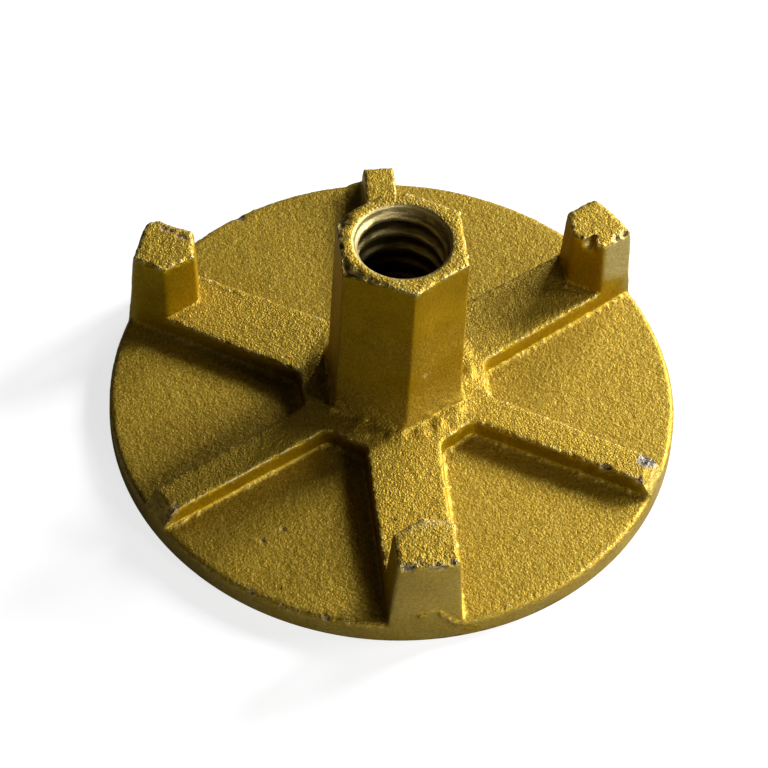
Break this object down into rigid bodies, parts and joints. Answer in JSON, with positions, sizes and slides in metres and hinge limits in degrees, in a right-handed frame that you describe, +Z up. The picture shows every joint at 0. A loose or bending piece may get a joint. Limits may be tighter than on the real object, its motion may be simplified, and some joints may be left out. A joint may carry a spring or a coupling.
{
  "type": "formwork wing nut",
  "caption": "Round bearing plate with radial ribs, upright striking lugs and a tall hexagonal boss bored for a threaded formwork tie rod.",
  "frame": {"origin": "centre of the plate's underside, on the bore's axis", "axes": "+Z up along the bore, from the bearing face to the top of the boss; -Y runs through one of the lugs"},
  "size_m": [0.13, 0.13, 0.055],
  "materials": {
    "painted_iron": "gold paint over an as-cast, granular iron skin"
  },
  "bodies": {
    "root": {"nut_casting": "painted_iron"}
  },
  "joints": []
}
